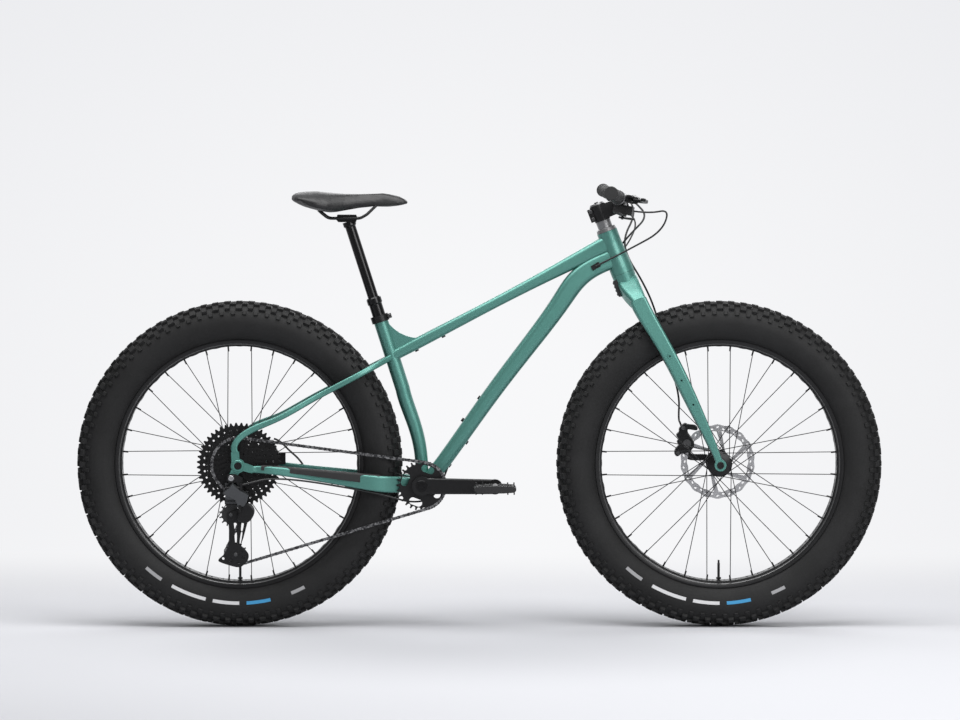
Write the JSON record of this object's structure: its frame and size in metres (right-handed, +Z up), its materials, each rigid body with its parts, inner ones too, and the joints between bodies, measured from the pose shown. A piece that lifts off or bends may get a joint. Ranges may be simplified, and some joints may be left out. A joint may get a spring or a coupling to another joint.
{
  "type": "fat tire bike",
  "caption": "Fat tire mountain bike with a green frame and rigid fork, knobby tyres, dropper post and disc brakes.",
  "frame": {"origin": "on the ground midway between the axles", "axes": "+X forward, +Z up, +Y to the left side; the drive side is at -Y"},
  "size_m": [1.9316, 0.7592, 1.059],
  "materials": {
    "frame_paint": "gloss metallic",
    "black_metal": "satin black",
    "grey_metal": "satin",
    "steel": "brushed",
    "tyre_rubber": "matt",
    "grip_rubber": "matt",
    "black_plastic": "matt",
    "saddle_cover": "satin"
  },
  "bodies": {
    "frame": {"head_tube": "frame_paint", "frame_bearings": "steel", "seat_tube": "frame_paint", "top_tube": "frame_paint", "down_tube": "frame_paint", "bottom_bracket_shell": "frame_paint", "chainstays": "frame_paint", "seatstays": "frame_paint", "dropouts": "frame_paint", "rear_axle": "steel", "seat_collar": "black_metal", "post_outer": "black_metal", "rear_caliper": "black_metal", "frame_fittings": "black_metal", "frame_cables": "grip_rubber", "chain": "steel", "derailleur_base": "black_metal"},
    "steering": {"fork": "frame_paint", "front_axle": "steel", "fork_steerer": "grey_metal", "headset_spacers": "black_metal", "stem": "black_metal", "stem_faceplate": "black_metal", "handlebar": "black_metal", "grips": "grip_rubber", "brake_masters": "black_metal", "shifter_body": "black_plastic", "dropper_remote": "black_plastic", "front_caliper": "black_metal", "front_brake_hose": "grip_rubber", "cockpit_cables": "grip_rubber"},
    "front_wheel": {"front_tyre": "tyre_rubber", "front_rim": "black_metal", "front_spokes": "black_metal", "front_hub": "black_metal", "front_rotor": "steel"},
    "rear_wheel": {"rear_tyre": "tyre_rubber", "rear_rim": "black_metal", "rear_spokes": "black_metal", "rear_hub": "black_metal", "rear_rotor": "steel"},
    "cassette_body": {"cassette": "steel"},
    "crank": {"crankset": "black_metal", "chainring": "black_metal"},
    "right_pedal": {"pedal_right": "black_plastic"},
    "left_pedal": {"pedal_left": "black_plastic"},
    "saddle_post": {"stanchion": "black_metal", "saddle_rails": "black_metal", "saddle": "saddle_cover"},
    "right_brake_lever": {"brake_lever_right": "black_metal"},
    "left_brake_lever": {"brake_lever_left": "black_metal"},
    "shift_paddle": {"shift_lever": "black_plastic"},
    "release_paddle": {"release_lever": "black_plastic"},
    "dropper_paddle": {"dropper_lever": "black_plastic"},
    "link_outer": {"outer_link": "grey_metal"},
    "link_inner": {"inner_link": "grey_metal"},
    "knuckle": {"derailleur_knuckle": "black_metal"},
    "cage": {"derailleur_cage": "black_metal"},
    "guide_wheel": {"guide_pulley": "black_plastic"},
    "tension_wheel": {"tension_pulley": "black_plastic"}
  },
  "joints": [
    {"name": "steer", "type": "hinge", "parent": "frame", "child": "steering", "pos_m": [0.34404, 0, 0.84756], "axis": [-0.3584, 0, 0.9336], "range_deg": [-65, 65], "deforming": ["cockpit_cables"]},
    {"name": "front_spin", "type": "hinge", "parent": "steering", "child": "front_wheel", "pos_m": [0.575, 0, 0.391], "axis": [0, 1, 0], "continuous": true},
    {"name": "rear_spin", "type": "hinge", "parent": "frame", "child": "rear_wheel", "pos_m": [-0.575, 0, 0.391], "axis": [0, 1, 0], "continuous": true},
    {"name": "cassette_spin", "type": "hinge", "parent": "frame", "child": "cassette_body", "pos_m": [-0.575, -0.066, 0.391], "axis": [0, 1, 0], "continuous": true, "deforming": ["chain"]},
    {"name": "crank_spin", "type": "hinge", "parent": "frame", "child": "crank", "pos_m": [-0.13785, 0, 0.341], "axis": [0, 1, 0], "continuous": true, "deforming": ["chain"]},
    {"name": "pedal_right_spin", "type": "hinge", "parent": "crank", "child": "right_pedal", "pos_m": [0.03715, -0.16, 0.341], "axis": [0, 1, 0], "continuous": true},
    {"name": "pedal_left_spin", "type": "hinge", "parent": "crank", "child": "left_pedal", "pos_m": [-0.31285, 0.16, 0.341], "axis": [0, 1, 0], "continuous": true},
    {"name": "dropper", "type": "slide", "parent": "frame", "child": "saddle_post", "axis": [-0.3057, 0, 0.9521], "range_m": [-0.15, 0]},
    {"name": "brake_right_pull", "type": "hinge", "parent": "steering", "child": "right_brake_lever", "pos_m": [0.36627, -0.25657, 1.0242], "axis": [-0.1849, -0.0576, -0.9811], "range_deg": [0, 18], "stiffness_Nm_per_rad": 0.4},
    {"name": "brake_left_pull", "type": "hinge", "parent": "steering", "child": "left_brake_lever", "pos_m": [0.36627, 0.25657, 1.0242], "axis": [0.1849, -0.0576, 0.9811], "range_deg": [0, 18], "stiffness_Nm_per_rad": 0.4},
    {"name": "shift_push", "type": "hinge", "parent": "steering", "child": "shift_paddle", "pos_m": [0.33748, -0.20838, 0.98908], "axis": [0.1849, 0.0576, 0.9811], "range_deg": [0, 25], "stiffness_Nm_per_rad": 0.4},
    {"name": "release_pull", "type": "hinge", "parent": "steering", "child": "release_paddle", "pos_m": [0.33637, -0.20872, 0.9832], "axis": [-0.1849, -0.0576, -0.9811], "range_deg": [0, 12], "stiffness_Nm_per_rad": 0.4},
    {"name": "dropper_push", "type": "hinge", "parent": "steering", "child": "dropper_paddle", "pos_m": [0.33259, 0.20707, 0.99503], "axis": [-0.1849, 0.0576, -0.9811], "range_deg": [0, 20], "stiffness_Nm_per_rad": 0.4},
    {"name": "derailleur_swing", "type": "hinge", "parent": "frame", "child": "link_outer", "pos_m": [-0.592, -0.113, 0.339], "axis": [1, 0, 0], "range_deg": [-34, 4], "deforming": ["chain"]},
    {"name": "inner_link_swing", "type": "hinge", "parent": "frame", "child": "link_inner", "pos_m": [-0.592, -0.1, 0.344], "axis": [1, 0, 0], "range_deg": [-34, 4]},
    {"name": "knuckle_swing", "type": "hinge", "parent": "link_outer", "child": "knuckle", "pos_m": [-0.592, -0.091, 0.297], "axis": [1, 0, 0], "range_deg": [-4, 34]},
    {"name": "cage_swing", "type": "hinge", "parent": "knuckle", "child": "cage", "pos_m": [-0.562, -0.075, 0.277], "axis": [0, 1, 0], "range_deg": [-35, 10], "deforming": ["chain"]},
    {"name": "guide_spin", "type": "hinge", "parent": "cage", "child": "guide_wheel", "pos_m": [-0.59376, -0.066, 0.27207], "axis": [0, 1, 0], "continuous": true},
    {"name": "tension_spin", "type": "hinge", "parent": "cage", "child": "tension_wheel", "pos_m": [-0.58246, -0.066, 0.17658], "axis": [0, 1, 0], "continuous": true}
  ],
  "couplings": [
    {"joint": "cassette_spin", "follows": "crank_spin", "ratio": 0.875},
    {"joint": "guide_spin", "follows": "crank_spin", "ratio": -2.1538},
    {"joint": "tension_spin", "follows": "crank_spin", "ratio": 2.1538},
    {"joint": "inner_link_swing", "follows": "derailleur_swing", "ratio": 1},
    {"joint": "knuckle_swing", "follows": "derailleur_swing", "ratio": -1}
  ]
}
